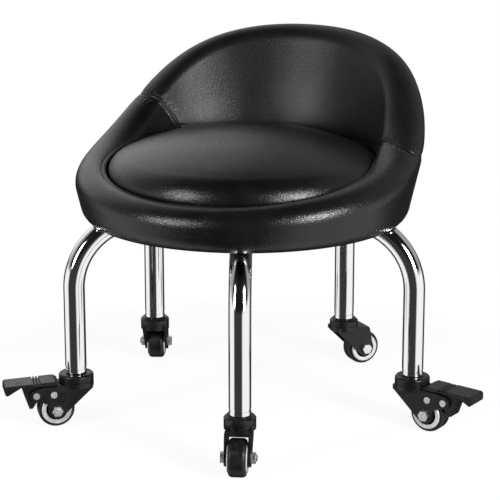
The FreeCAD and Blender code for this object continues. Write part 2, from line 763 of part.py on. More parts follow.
def turned_hole(body, reach):
    """A stepped hole for one tee nut: the bolt's way, the barrel and the flange's seat."""
    sketch = new_sketch(body, "XZ_Plane")
    way = f"{reach} + leg_bolt_radius + leg_bolt_clearance"
    trace(sketch, [(reach, "board_bottom - overrun"), (way, "board_bottom - overrun"),
                   (way, "board_top - tee_barrel_length"),
                   (f"{reach} + tee_barrel_radius", "board_top - tee_barrel_length"),
                   (f"{reach} + tee_barrel_radius", "board_top - tee_flange_thickness"),
                   (f"{reach} + tee_flange_radius", "board_top - tee_flange_thickness"),
                   (f"{reach} + tee_flange_radius", "board_top + overrun"), (reach, "board_top + overrun")])
    feature = body.newObject("PartDesign::Groove", "NutHole")
    feature.Profile = sketch
    feature.ReferenceAxis = (sketch, [f"Edge{sketch.GeometryCount}"])
    feature.Angle = FULL_TURN_DEG
    return feature


def build_dust_cover():
    """The cloth under the board, between it and the legs."""
    body = revolved("dust_cover", [("0", "tube_top"), ("board_radius - dust_cover_inset", "tube_top"),
                                   ("board_radius - dust_cover_inset", "board_bottom"),
                                   ("0", "board_bottom")])
    holes = []
    hole_radius = "leg_bolt_radius + leg_bolt_clearance"
    for reach in ("leg_bolt_outer", "leg_bolt_inner"):
        holes.append(drill(body, "XY_Plane", [(reach, "0", hole_radius)], forward=True))
    pattern = body.newObject("PartDesign::PolarPattern", "Legs")
    pattern.Originals = holes
    pattern.Axis = ([item for item in body.Origin.OriginFeatures if item.Role == "Z_Axis"][0], [""])
    pattern.Angle = FULL_TURN_DEG
    pattern.Occurrences = len(PLACES)
    body.Tip = pattern
    return node(body, "dust_cover", moved(angle=leg_deg(PLACES[0])))


def arc_wall(name, inner, outer, low, height, span_deg):
    """An upright wall bent round the seat's axis, centred on the back."""
    turn = moved(z=size(low), angle=BACK_DEG - span_deg / 2)
    blank = cylinder(f"{name}_blank", outer, height, turn)
    blank.Angle = span_deg
    return cut(name, blank, cylinder(f"{name}_inside", inner, height, turn))


def build_back_panel():
    """The bent plywood panel that stiffens the back inside the bolster."""
    wall = arc_wall("panel_wall", "board_radius", "panel_outer_radius", "board_bottom", "panel_height",
                    size("panel_span_deg"))
    return node(cut("panel", wall, back_screws("panel_screw_holes")), "back_panel")


def back_share(angle_deg):
    """How far the ring has risen into the back, from 1 at the back to 0 at the front.

    A broad back with shoulders, mixed with an even slope along the sides.
    """
    nearness = (1 + math.cos(math.radians(angle_deg))) / 2
    broad = nearness ** BACK_FALL_POWER
    slope_share = size("back_slope_share")
    return (1 - slope_share) * broad / (broad + 1 - nearness) + slope_share * nearness


def bolster_section(angle_deg):
    """The bolster's rounded section at an angle from the middle of the back."""
    share = back_share(angle_deg)
    half = size("bolster_half_width")
    foot = FreeCAD.Vector(size("bolster_mid_radius"), 0, size("bolster_bottom") + half)
    top = size("ring_top") + (size("back_top") - size("ring_top")) * share
    lean = size("back_lean") * share + size("side_lean") * math.sin(math.radians(angle_deg)) ** 2
    rim = FreeCAD.Vector(foot.x + lean, 0, top - half)
    along = (rim - foot).normalize()
    out = FreeCAD.Vector(along.z, 0, -along.x)

    def quarter(centre, first, last):
        middle = (first + last).normalize()
        return Part.Arc(centre + first * half, centre + middle * half, centre + last * half).toShape()

    edges = [Part.LineSegment(foot - out * half, rim - out * half).toShape(),
             quarter(rim, -out, along), quarter(rim, along, out),
             Part.LineSegment(rim + out * half, foot + out * half).toShape(),
             quarter(foot, out, -along), quarter(foot, -along, -out)]
    wire = Part.Wire(edges)
    wire.rotate(ORIGIN, UP, BACK_DEG + angle_deg)
    return wire


def cushion_corners(gap):
    """The cushion's outline, grown by a gap where the bolster makes room for it."""
    edge = "cushion_edge_radius"
    top = f"cushion_crown_top - cushion_crown_rise + {gap}"
    inner = f"cushion_radius + {gap} - {edge}"
    crown = f"(({inner}) * ({inner}) + cushion_crown_rise * cushion_crown_rise) / (2 * cushion_crown_rise)"
    return [("0", "board_top"), (f"cushion_foot_radius + {gap}", "board_top"),
            (f"cushion_radius + {gap}", "cushion_bulge_height"),
            (inner, top, "ccw", edge), ("0", f"{top} + cushion_crown_rise", "ccw", crown)]


def build_cushion():
    """The round cushion: drawn in at its foot, rounded at its edge and crowned on top."""
    return node(revolved("cushion", cushion_corners("0")), "seat_cushion")


def build_bolster():
    """The padded ring and back, with room for the board, the panel, the cushion and the legs."""
    form = doc.addObject("Part::Feature", "bolster_form")
    step = FULL_TURN_DEG / 2 / BOLSTER_STEPS
    sections = [bolster_section(index * step) for index in range(-1, BOLSTER_STEPS + 2)]
    form.Shape = Part.makeLoft(sections, True)
    reach = "bolster_mid_radius + bolster_half_width + back_lean + overrun"
    side = doc.addObject("Part::Box", "left_side")
    bind(side, Length=reach, Width=f"2 * ({reach})", Height="back_top + overrun")
    side.Placement = moved(-size(reach), -size(reach))
    panel_room = arc_wall("panel_room", "board_radius", "panel_outer_radius + soft_gap", "board_bottom",
                          "panel_height + soft_gap", size("panel_span_deg") + 2 * gap_deg())
    half = doc.addObject("Part::Common", "bolster_left")
    half.Base = form
    half.Tool = side
    for room in (cylinder("tube_room", "tube_relief_radius", "board_bottom"),
                 cylinder("board_room", "board_radius + soft_gap", "board_top + soft_gap"),
                 revolved("cushion_room", cushion_corners("soft_gap")), panel_room):
        half = cut("bolster_half", half, room)
    other = doc.addObject("Part::Mirroring", "bolster_other_half")
    other.Source = half
    other.Normal = ALONG_X
    whole = doc.addObject("Part::Fuse", "bolster")
    whole.Base = half
    whole.Tool = other
    whole.Refine = True
    return node(whole, "seat_bolster")


def gap_deg():
    """The soft gap as a turn at the panel's radius."""
    return math.degrees(size("soft_gap / panel_outer_radius"))


def build_all():
    fill_dimensions()
    for place in PLACES:
        build_leg(place)
        build_stem(place)
        build_cap(place)
        build_fork(place)
        build_axle_set(place)
        build_hub(place)
        build_tyre(place)
        build_trim_rings(place)
        if place in BRAKED:
            build_pedal(place)
            build_brake_rivets(place)
    build_thrust_washers()
    build_sockets()
    build_leg_plugs()
    build_board()
    build_dust_cover()
    build_leg_bolts()
    build_tee_nuts()
    build_back_panel()
    node(back_screws("screws"), "back_panel_screws")
    build_cushion()
    build_bolster()
    doc.recompute()


def check_all():
    """Stop if any object failed or any sub-part's shape is not sound."""
    for item in doc.Objects:
        if "Invalid" in item.State or "Error" in item.State:
            raise RuntimeError(f"{item.Name} failed: {item.State}")
    for item in nodes:
        if item.Shape.isNull() or not item.Shape.isValid() or not item.Shape.Solids:
            raise RuntimeError(f"{item.Label} has no sound shape")


def write_all():
    os.makedirs("parts", exist_ok=True)
    for item in nodes:
        item.Shape.exportStep(os.path.join("parts", f"{item.Label}.step"))
        print(f"{item.Label}: {len(item.Shape.Solids)} solids, {item.Shape.Volume:.0f} mm3")


build_all()
check_all()
write_all()
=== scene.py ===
import json
import math

import bmesh
import bpy
import numpy as np
from mathutils import Matrix, Vector


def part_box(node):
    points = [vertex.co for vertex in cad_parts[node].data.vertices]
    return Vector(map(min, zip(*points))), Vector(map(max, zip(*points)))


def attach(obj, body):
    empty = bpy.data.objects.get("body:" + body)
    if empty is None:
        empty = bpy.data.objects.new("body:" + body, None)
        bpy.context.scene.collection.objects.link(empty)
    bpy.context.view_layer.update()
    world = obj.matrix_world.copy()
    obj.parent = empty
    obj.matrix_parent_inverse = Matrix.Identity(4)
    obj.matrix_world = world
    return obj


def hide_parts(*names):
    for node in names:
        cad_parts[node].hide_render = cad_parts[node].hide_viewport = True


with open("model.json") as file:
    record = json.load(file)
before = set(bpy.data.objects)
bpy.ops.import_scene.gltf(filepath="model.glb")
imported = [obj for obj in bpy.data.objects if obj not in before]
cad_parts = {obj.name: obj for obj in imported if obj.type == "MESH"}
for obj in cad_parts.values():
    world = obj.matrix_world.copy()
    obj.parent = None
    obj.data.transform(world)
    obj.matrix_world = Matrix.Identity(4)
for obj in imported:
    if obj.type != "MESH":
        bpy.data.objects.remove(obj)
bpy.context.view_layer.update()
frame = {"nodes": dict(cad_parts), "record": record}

# Low rolling stool: leatherette bucket seat, five chromed legs, five swivel casters.
# Metres, +Z up, the sitter faces -Y; angles round the seat are counted from the middle of the back.

MM = 0.001
SEAT_BODY = "seat_and_legs"
PLACES = ("right", "back", "back_left", "front_left", "front")
SMOOTH_ANGLE = math.radians(32)

# Seat forms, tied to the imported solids
bolster_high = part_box("seat_bolster")[1]
cushion_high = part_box("seat_cushion")[1]
board_low, board_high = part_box("seat_board")
cover_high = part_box("dust_cover")[1]
BOLSTER_HALF_WIDTH = 19 * MM
BOLSTER_SLACK = 0.3 * MM
BOLSTER_SWELL = 1.2 * MM
BOLSTER_RADIUS = board_high.x + 1.5 * MM
BOLSTER_FOOT = board_low.z - 18 * MM + BOLSTER_HALF_WIDTH
RING_TOP = board_high.z + 12.5 * MM
BACK_TOP = bolster_high.z
BACK_LEAN = 26 * MM
SIDE_LEAN = 3 * MM
BACK_FULLNESS = 3.5 * MM
SIDE_FULLNESS = 10 * MM
SIDE_FULL_ANGLE = math.radians(92)
SIDE_FULL_SPREAD = math.radians(38)
BACK_FALL_POWER = 5.4
BACK_SLOPE_SHARE = 0.32
TUCK_RADIUS = board_high.x + 11.5 * MM
TUCK_GAP = 0.5 * MM
BOARD_RADIUS = board_high.x
CUSHION_RADIUS = cushion_high.x
CUSHION_FOOT_RADIUS = cushion_high.x - 16 * MM
CUSHION_BULGE = board_high.z + 12 * MM
CUSHION_EDGE = 26 * MM
CUSHION_TOP = cushion_high.z + 8 * MM
CUSHION_SLACK = 2.2 * MM
CUSHION_SWELL = 2.2 * MM
CUSHION_MIDDLE = 2 * MM
FILLING_PRESSURE = 4.0
FILLING_STEPS = 20
SWELL_SMOOTHING = 3

# Covers' grids; sections are worked out at each degree round the seat
DEGREES = range(-180, 181)
OUTLINE_STEPS = 60
MAIN_ROWS = 120
WELT_ROWS = 18
VISIBLE_ROWS = MAIN_ROWS + WELT_ROWS
TUCK_ROWS = 16
BOLSTER_COLUMNS = 300
SWELL_DEGREES = 3
SWELL_ROW_STEP = 3
RELIEF_FADE_ROWS = 4
CUSHION_PROFILE_STEPS = 600
CUSHION_COLUMNS = 160
CUSHION_ROWS = 70
CUSHION_HELD_ROWS = 8
CUSHION_CROWN_ROWS = 30

# Seams at the two ends of the back, and the sewn edge beside the cushion
SEAM_ANGLES = (math.radians(65), math.radians(-80))
SEAM_SLANT = math.radians(18)
SEAM_SLANT_DEPTH = 55 * MM
SEAM_SPREAD = math.radians(32)
SEAM_REACH = 158 * MM
SEAM_ZONE = 12 * MM
SEAM_STEP = 0.45 * MM
SEAM_WIDTH = 0.75 * MM
SEAM_DEPTH = 1.0 * MM
SEAM_DIP = 0.9 * MM
SEAM_DIP_WIDTH = 8 * MM
STITCH_OFFSET = 3.3 * MM
STITCH_DEPTH = 0.55 * MM
STITCH_LENGTH = 2.7 * MM
STITCH_PITCH = 3.6 * MM
STITCHED_ROWS = slice(3, VISIBLE_ROWS - 2)
THREAD_RADIUS = 0.32 * MM
THREAD_SIDES = 6
THREAD_STEPS = 5
GATHER_PITCH = 6.5 * MM
GATHER_DEPTH = 0.28 * MM
WELT_ZONE = 12 * MM
WELT_OFFSET = 4 * MM
WELT_DEPTH = 0.4 * MM
HEM_GATHERS = 70
HEM_GATHER_DEPTH = 0.2 * MM
HEM_GATHER_HEIGHT = 9 * MM
LUMP_DEPTH = 0.15 * MM
LUMP_HEIGHT = 16 * MM

# Cloth under the board
COVER_COLUMNS = 240
COVER_ROWS = 48
COVER_MIDDLE = 3 * MM
COVER_LIFT = 0.4 * MM
COVER_SLACK = 2.5 * MM
COVER_SCALLOP = 0.4 * MM
LEG_CLAMP = 11 * MM
BOLT_HOLE = 4.5 * MM
BOLT_REACHES = (104 * MM, 60 * MM)
STAPLES = 36
STAPLE_LENGTH = 10 * MM
STAPLE_WIRE = 1.0 * MM
STAPLE_INSET = 4 * MM

# Camera, as the photograph was taken
CAMERA_PLACE = (0.7572, -1.7715, 0.6756)
CAMERA_TARGET = (0.0044, 0.0019, 0.1714)
CAMERA_LENS = 137.6
CAMERA_SENSOR = 36.0
CAMERA_DEG = 23.0

# Studio; bearings in degrees from the camera's side, to its right, and heights in degrees above the horizon
RIGHT_WALL = (24, 112)
LEFT_WALL = (-118, -60)
BEHIND_CAMERA = (-84, 84)
WINDOW = (-205, -118)
WALL_SOFTNESS = 16
WINDOW_SOFTNESS = 20
HORIZON = (0, 10)
CEILING = (42, 68)
WALL_GAP_LIGHT = 0.04
ROOM_LIGHT = 0.35
BEHIND_LIGHT = 0.03
CEILING_LIGHT = 0.03
FILL_LIGHT = 0.28
FLOOR_RADIUS = 0.44
FLOOR_FADE = 0.34
FLOOR_DROP = 0.2 * MM
FLOOR_TONE = 0.85
FLOOR_GLOW = 0.86
FLOOR_WHITE = 1.06
LAMP_AIM = Vector((0.0, 0.0, 0.24))
LAMP_DISTANCE = 1.3
LAMP_HEIGHT = 0.7
LAMP_FADE = 0.35


# Node helpers

def add(tree, kind, settings=None, **sockets):
    """A new node with its settings and its unlinked sockets filled in."""
    made = tree.nodes.new(kind)
    for name, value in (settings or {}).items():
        setattr(made, name, value)
    for name, value in sockets.items():
        made.inputs[name.replace("_", " ")].default_value = value
    return made


def sums(tree, operation, first, second=None, third=None):
    """A math node; each term is a number or a socket."""
    made = add(tree, "ShaderNodeMath", {"operation": operation})
    for place, term in enumerate((first, second, third)):
        if term is None:
            continue
        if isinstance(term, (int, float)):
            made.inputs[place].default_value = term
        else:
            tree.links.new(term, made.inputs[place])
    return made.outputs[0]


def ranged(tree, value, low, high, to_low=0.0, to_high=1.0, smooth=True):
    """Map a value's range to another range, eased at both ends if smooth."""
    made = add(tree, "ShaderNodeMapRange", {"interpolation_type": "SMOOTHSTEP" if smooth else "LINEAR"})
    tree.links.new(value, made.inputs["Value"])
    for name, number in zip(("From Min", "From Max", "To Min", "To Max"), (low, high, to_low, to_high)):
        made.inputs[name].default_value = number
    return made.outputs["Result"]


def mixed(tree, share, first, second):
    """Mix two colours by a share."""
    made = add(tree, "ShaderNodeMix", {"data_type": "RGBA"})
    for term, socket in ((share, made.inputs[0]), (first, made.inputs[6]), (second, made.inputs[7])):
        if isinstance(term, (int, float, tuple)):
            socket.default_value = term
        else:
            tree.links.new(term, socket)
    return made.outputs[2]


def grey(level):
    """A neutral colour."""
    return (level, level, level, 1.0)


def new_group(name, inputs, outputs):
    """A shader node group with named float inputs and typed outputs."""
    tree = bpy.data.node_groups.new(name, "ShaderNodeTree")
    for label, value in inputs.items():
        tree.interface.new_socket(label, in_out="INPUT", socket_type="NodeSocketFloat").default_value = value
    for label, kind in outputs.items():
        tree.interface.new_socket(label, in_out="OUTPUT", socket_type=kind)
    return tree, tree.nodes.new("NodeGroupInput").outputs, tree.nodes.new("NodeGroupOutput").inputs


def use_group(tree, group, **values):
    """Place a group in a material with its own values."""
    made = tree.nodes.new("ShaderNodeGroup")
    made.node_tree = group
    for name, value in values.items():
        made.inputs[name.replace("_", " ")].default_value = value
    return made.outputs


def new_material(name, **sockets):
    """A material with its Principled shader's plain sockets set; returns it, its tree and the shader."""
    material = bpy.data.materials.new(name)
    material.use_nodes = True
    tree = material.node_tree
    shader = tree.nodes["Principled BSDF"]
    for label, value in sockets.items():
        shader.inputs[label.replace("_", " ")].default_value = value
    return material, tree, shader


def bumped(tree, shader, height, depth, normal=None):
    """Drive the shader's normal with a height, in metres at full depth."""
    bump = add(tree, "ShaderNodeBump", Strength=1.0, Distance=depth)
    tree.links.new(height, bump.inputs["Height"])
    if normal is not None:
        tree.links.new(normal, bump.inputs["Normal"])
    tree.links.new(bump.outputs["Normal"], shader.inputs["Normal"])


def add_piece(name, mesh):
    """A mesh as an object in the scene."""
    piece = bpy.data.objects.new(name, mesh)
    bpy.context.scene.collection.objects.link(piece)
    return piece


# Shared surface effects

def pebble_grain_group():
    """Embossed leatherette: rounded pebbles parted by creases, slow changes of tone and gloss, and painted
    shade in the creases.
    """
    tree, given, out = new_group(
        "pebble_grain", {"Cells per metre": 900.0, "Upright stretch": 0.6},
        {"Height": "NodeSocketFloat", "Tone and painted crease shade": "NodeSocketFloat", "Gloss": "NodeSocketFloat",
         "Pebble": "NodeSocketFloat"})
    place = add(tree, "ShaderNodeTexCoord").outputs["Object"]
    stretch = add(tree, "ShaderNodeCombineXYZ", X=1.0, Y=1.0)
    tree.links.new(given["Upright stretch"], stretch.inputs["Z"])
    drawn = add(tree, "ShaderNodeVectorMath", {"operation": "MULTIPLY"})
    tree.links.new(place, drawn.inputs[0])
    tree.links.new(stretch.outputs[0], drawn.inputs[1])
    wander = add(tree, "ShaderNodeTexNoise", Scale=420.0, Detail=1.0)
    tree.links.new(drawn.outputs[0], wander.inputs["Vector"])
    shift = add(tree, "ShaderNodeVectorMath", {"operation": "MULTIPLY_ADD"})
    tree.links.new(wander.outputs["Color"], shift.inputs[0])
    shift.inputs[1].default_value = (0.0012, 0.0012, 0.0012)
    tree.links.new(drawn.outputs[0], shift.inputs[2])
    cells = add(tree, "ShaderNodeTexVoronoi", {"feature": "DISTANCE_TO_EDGE"})
    tree.links.new(shift.outputs[0], cells.inputs["Vector"])
    tree.links.new(given["Cells per metre"], cells.inputs["Scale"])
    pebbles = ranged(tree, cells.outputs["Distance"], 0.0, 0.4)
    fine = add(tree, "ShaderNodeTexNoise", Scale=3200.0, Detail=2.0)
    tree.links.new(place, fine.inputs["Vector"])
    slow = add(tree, "ShaderNodeTexNoise", Scale=38.0, Detail=3.0)
    tree.links.new(place, slow.inputs["Vector"])
    height = sums(tree, "MULTIPLY_ADD", fine.outputs["Fac"], 0.25, pebbles)
    tree.links.new(height, out["Height"])
    # Colour share: a slow random tone, plus painted shade that darkens the creases between the pebbles.
    clouds = ranged(tree, slow.outputs["Fac"], 0.3, 0.7, 0.0, 0.65)
    tree.links.new(sums(tree, "MULTIPLY_ADD", pebbles, 0.35, clouds), out["Tone and painted crease shade"])
    tree.links.new(ranged(tree, slow.outputs["Fac"], 0.25, 0.75), out["Gloss"])
    tree.links.new(pebbles, out["Pebble"])
    return tree


def handling_group():
    """Smears and dust: a slow cloud and a fine speckle."""
    tree, given, out = new_group(
        "handling_marks", {"Clouds per metre": 60.0, "Specks per metre": 1500.0},
        {"Smear": "NodeSocketFloat", "Speck": "NodeSocketFloat"})
    place = add(tree, "ShaderNodeTexCoord").outputs["Object"]
    cloud = add(tree, "ShaderNodeTexNoise", Detail=4.0, Roughness=0.6)
    speck = add(tree, "ShaderNodeTexNoise", Detail=2.0)
    for noise, scale in ((cloud, "Clouds per metre"), (speck, "Specks per metre")):
        tree.links.new(place, noise.inputs["Vector"])
        tree.links.new(given[scale], noise.inputs["Scale"])
    tree.links.new(ranged(tree, cloud.outputs["Fac"], 0.3, 0.7), out["Smear"])
    tree.links.new(ranged(tree, speck.outputs["Fac"], 0.35, 0.65), out["Speck"])
    return tree


def worn_edge_group():
    """Softened edges: the rounded normal and a broken mask where edges rub."""
    tree, given, out = new_group(
        "worn_edges", {"Edge radius": 0.0005},
        {"Mask": "NodeSocketFloat", "Normal": "NodeSocketVector"})
    rounded = add(tree, "ShaderNodeBevel", {"samples": 4})
    tree.links.new(given["Edge radius"], rounded.inputs["Radius"])
    plain = add(tree, "ShaderNodeNewGeometry").outputs["Normal"]
    agree = add(tree, "ShaderNodeVectorMath", {"operation": "DOT_PRODUCT"})
    tree.links.new(rounded.outputs[0], agree.inputs[0])
    tree.links.new(plain, agree.inputs[1])
    edge = ranged(tree, agree.outputs["Value"], 0.995, 0.85)
    broken = add(tree, "ShaderNodeTexNoise", Scale=700.0, Detail=3.0)
    tree.links.new(add(tree, "ShaderNodeTexCoord").outputs["Object"], broken.inputs["Vector"])
    tree.links.new(sums(tree, "MULTIPLY", edge, ranged(tree, broken.outputs["Fac"], 0.4, 0.65)), out["Mask"])
    tree.links.new(rounded.outputs[0], out["Normal"])
    return tree


PEBBLE_GRAIN = pebble_grain_group()
HANDLING = handling_group()
WORN_EDGES = worn_edge_group()


# Materials

def leatherette(name, cells, stretch, depth, smooth, rough):
    """Black vinyl with a pebbled emboss; its lacquer is glossy on the pebbles and dull between them."""
    material, tree, shader = new_material(name, Specular_IOR_Level=0.45)
    grain = use_group(tree, PEBBLE_GRAIN, Cells_per_metre=cells, Upright_stretch=stretch)
    # Base colour: random tone plus painted shade, darker in the creases between the pebbles.
    tree.links.new(mixed(tree, grain["Tone and painted crease shade"], grey(0.003), grey(0.008)), shader.inputs["Base Color"])
    lacquer = sums(tree, "MULTIPLY_ADD", grain["Gloss"], 0.2, grain["Pebble"])
    tree.links.new(ranged(tree, lacquer, 0.0, 1.2, rough, smooth), shader.inputs["Roughness"])
    bumped(tree, shader, grain["Height"], depth)
    return material


def chrome_tube():
    """Bright chromium plate with faint smears."""
    material, tree, shader = new_material("chrome_tube", Metallic=1.0, Base_Color=(0.88, 0.885, 0.9, 1.0))
    marks = use_group(tree, HANDLING, Clouds_per_metre=45.0, Specks_per_metre=900.0)
    tree.links.new(ranged(tree, marks["Smear"], 0.0, 1.0, 0.035, 0.09), shader.inputs["Roughness"])
    bumped(tree, shader, marks["Speck"], 0.000004)
    return material


def moulded_plastic(name, dark, light, smooth, rough, wear):
    """Moulded black plastic: fine spark grain, softened edges and rubbed corners."""
    material, tree, shader = new_material(name, Specular_IOR_Level=0.35)
    marks = use_group(tree, HANDLING, Clouds_per_metre=90.0, Specks_per_metre=2600.0)
    edges = use_group(tree, WORN_EDGES, Edge_radius=0.0006)
    body = mixed(tree, marks["Smear"], grey(dark), grey(light))
    tree.links.new(mixed(tree, sums(tree, "MULTIPLY", edges["Mask"], wear), body, grey(0.09)),
                   shader.inputs["Base Color"])
    tree.links.new(ranged(tree, marks["Smear"], 0.0, 1.0, smooth, rough), shader.inputs["Roughness"])
    bumped(tree, shader, marks["Speck"], 0.00002, edges["Normal"])
    return material


def bright_finish(name, tone, metallic, smooth, rough):
    """Zinc plate or silver paint with a fine bloom and bright edges."""
    material, tree, shader = new_material(name, Metallic=metallic)
    marks = use_group(tree, HANDLING, Clouds_per_metre=220.0, Specks_per_metre=3000.0)
    edges = use_group(tree, WORN_EDGES, Edge_radius=0.0003)
    shade = tuple(0.82 * part for part in tone)
    body = mixed(tree, marks["Smear"], (*shade, 1.0), (*tone, 1.0))
    tree.links.new(mixed(tree, edges["Mask"], body, grey(0.85)), shader.inputs["Base Color"])
    tree.links.new(ranged(tree, marks["Smear"], 0.0, 1.0, smooth, rough), shader.inputs["Roughness"])
    bumped(tree, shader, marks["Speck"], 0.000012, edges["Normal"])
    return material


def rubber_tyre():
    """Dull black polyurethane with scuffs and a little floor dust on the tread."""
    material, tree, shader = new_material("rubber_tyre", Specular_IOR_Level=0.35)
    marks = use_group(tree, HANDLING, Clouds_per_metre=160.0, Specks_per_metre=2200.0)
    dusty = sums(tree, "MULTIPLY", marks["Smear"], marks["Speck"])
    tree.links.new(mixed(tree, dusty, grey(0.005), grey(0.015)), shader.inputs["Base Color"])
    tree.links.new(ranged(tree, marks["Smear"], 0.0, 1.0, 0.34, 0.5), shader.inputs["Roughness"])
    bumped(tree, shader, marks["Speck"], 0.00003)
    return material


def plywood():
    """Black-stained ply: long grain on the faces."""
    material, tree, shader = new_material("plywood")
    grain = add(tree, "ShaderNodeTexWave", {"bands_direction": "X"}, Scale=60.0, Distortion=9.0, Detail=4.0)
    tree.links.new(add(tree, "ShaderNodeTexCoord").outputs["Object"], grain.inputs["Vector"])
    tree.links.new(mixed(tree, grain.outputs["Fac"], (0.012, 0.01, 0.008, 1.0), (0.04, 0.033, 0.026, 1.0)),
                   shader.inputs["Base Color"])
    shader.inputs["Roughness"].default_value = 0.6
    bumped(tree, shader, grain.outputs["Fac"], 0.00005)
    return material


def dust_cloth():
    """Black spun-bonded cloth: pressed fibres with a diamond emboss."""
    material, tree, shader = new_material("dust_cloth", Roughness=0.92, Sheen_Weight=0.15)
    place = add(tree, "ShaderNodeTexCoord").outputs["Object"]
    fibre = add(tree, "ShaderNodeTexNoise", Scale=1400.0, Detail=5.0, Distortion=1.5)
    emboss = add(tree, "ShaderNodeTexVoronoi", {"distance": "MANHATTAN"}, Scale=620.0, Randomness=0.0)
    for texture in (fibre, emboss):
        tree.links.new(place, texture.inputs["Vector"])
    tree.links.new(mixed(tree, fibre.outputs["Fac"], grey(0.008), grey(0.035)), shader.inputs["Base Color"])
    bumped(tree, shader, sums(tree, "ADD", fibre.outputs["Fac"], emboss.outputs["Distance"]), 0.00015)
    return material


def black_thread():
    """Bonded polyester thread with its twist."""
    material, tree, shader = new_material("black_thread", Roughness=0.6, Specular_IOR_Level=0.2)
    twist = add(tree, "ShaderNodeTexWave", {"bands_direction": "DIAGONAL"}, Scale=900.0, Distortion=1.0)
    tree.links.new(add(tree, "ShaderNodeTexCoord").outputs["Object"], twist.inputs["Vector"])
    tree.links.new(mixed(tree, twist.outputs["Fac"], grey(0.005), grey(0.012)), shader.inputs["Base Color"])
    bumped(tree, shader, twist.outputs["Fac"], 0.00005)
    return material


RING_LEATHERETTE = leatherette(
    "ring_leatherette", cells=620.0, stretch=0.8, depth=0.00008, smooth=0.16, rough=0.3)
BACK_LEATHERETTE = leatherette(
    "back_leatherette", cells=620.0, stretch=0.55, depth=0.00008, smooth=0.32, rough=0.44)
CUSHION_LEATHERETTE = leatherette(
    "cushion_leatherette", cells=680.0, stretch=1.0, depth=0.00007, smooth=0.17, rough=0.3)
CHROME = chrome_tube()
BLACK_PLASTIC = moulded_plastic(
    "black_plastic", dark=0.004, light=0.009, smooth=0.26, rough=0.38, wear=0.12)
HUB_PLASTIC = moulded_plastic(
    "hub_plastic", dark=0.006, light=0.012, smooth=0.28, rough=0.4, wear=0.1)
SILVER_TRIM = bright_finish(
    "silver_trim", tone=(0.82, 0.82, 0.83), metallic=0.6, smooth=0.3, rough=0.42)
ZINC_STEEL = bright_finish(
    "zinc_steel", tone=(0.8, 0.805, 0.81), metallic=1.0, smooth=0.34, rough=0.46)
TYRE = rubber_tyre()
PLYWOOD = plywood()
DUST_CLOTH = dust_cloth()
BLACK_THREAD = black_thread()

SLOT_MATERIALS = {
    "leatherette": RING_LEATHERETTE, "plywood": PLYWOOD, "zinc_steel": ZINC_STEEL,
    "dust_cloth": DUST_CLOTH, "chrome_tube": CHROME, "black_plastic": BLACK_PLASTIC,
    "hub_plastic": HUB_PLASTIC, "tyre": TYRE, "silver_trim": SILVER_TRIM,
}


def dress_cad_nodes():
    """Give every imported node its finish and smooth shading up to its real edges."""
    slots = {}
    for part in frame["record"]["subparts"]:
        slots[part["node"]] = part["material_slot"]
    for name, piece in frame["nodes"].items():
        mesh = piece.data
        mesh.materials.clear()
        mesh.materials.append(SLOT_MATERIALS[slots[name]])
        mesh.polygons.foreach_set("use_smooth", [True] * len(mesh.polygons))
        mesh.set_sharp_from_angle(angle=SMOOTH_ANGLE)


# Seat forms

def rise_share(angle):
    """How far the rim has risen at an angle from the back's middle, from 0 at the front to 1."""
    nearness = (1 + math.cos(angle)) / 2
    broad = nearness ** BACK_FALL_POWER
    return (1 - BACK_SLOPE_SHARE) * broad / (broad + 1 - nearness) + BACK_SLOPE_SHARE * nearness


def cushion_reach(height, slack):
    """The cushion's radius at a height, drawn in by a slack: crown and edge are arcs that meet smoothly."""
    rise = CUSHION_TOP - slack - CUSHION_BULGE
    inner = CUSHION_RADIUS - CUSHION_EDGE - slack
    crown = (inner ** 2 + rise ** 2 - CUSHION_EDGE ** 2) / (2 * (rise - CUSHION_EDGE))
    crown_middle = CUSHION_BULGE + rise - crown
    crown_end = crown_middle + (CUSHION_BULGE - crown_middle) * crown / (crown - CUSHION_EDGE)
    if height >= crown_end:
        return math.sqrt(max(crown ** 2 - (height - crown_middle) ** 2, 0.0))
    if height >= CUSHION_BULGE:
        return inner + math.sqrt(max(CUSHION_EDGE ** 2 - (height - CUSHION_BULGE) ** 2, 0.0))
    share = (height - board_high.z) / (CUSHION_BULGE - board_high.z)
    foot = CUSHION_FOOT_RADIUS - slack
    return foot + (CUSHION_RADIUS - CUSHION_FOOT_RADIUS) * math.sin(share * math.pi / 2)


def arc_points(centre, radius, start, end, count):
    """Points along an arc, from one turn to another."""
    turn = np.linspace(start, end, count)
    return np.stack([centre[0] + radius * np.cos(turn), centre[1] + radius * np.sin(turn)], axis=1)


def lengths(path):
    """The length along a path to each of its points."""
    return np.concatenate([[0.0], np.cumsum(np.linalg.norm(np.diff(path, axis=0), axis=1))])


def resample(path, shares):
    """Points at given shares of a path's length."""
    steps = lengths(path)
    return np.stack([np.interp(shares * steps[-1], steps, line) for line in path.T], axis=1)


def ridge(distance, middle, width):
    """A smooth ridge of height one."""
    return np.exp(-((distance - middle) / width) ** 2)


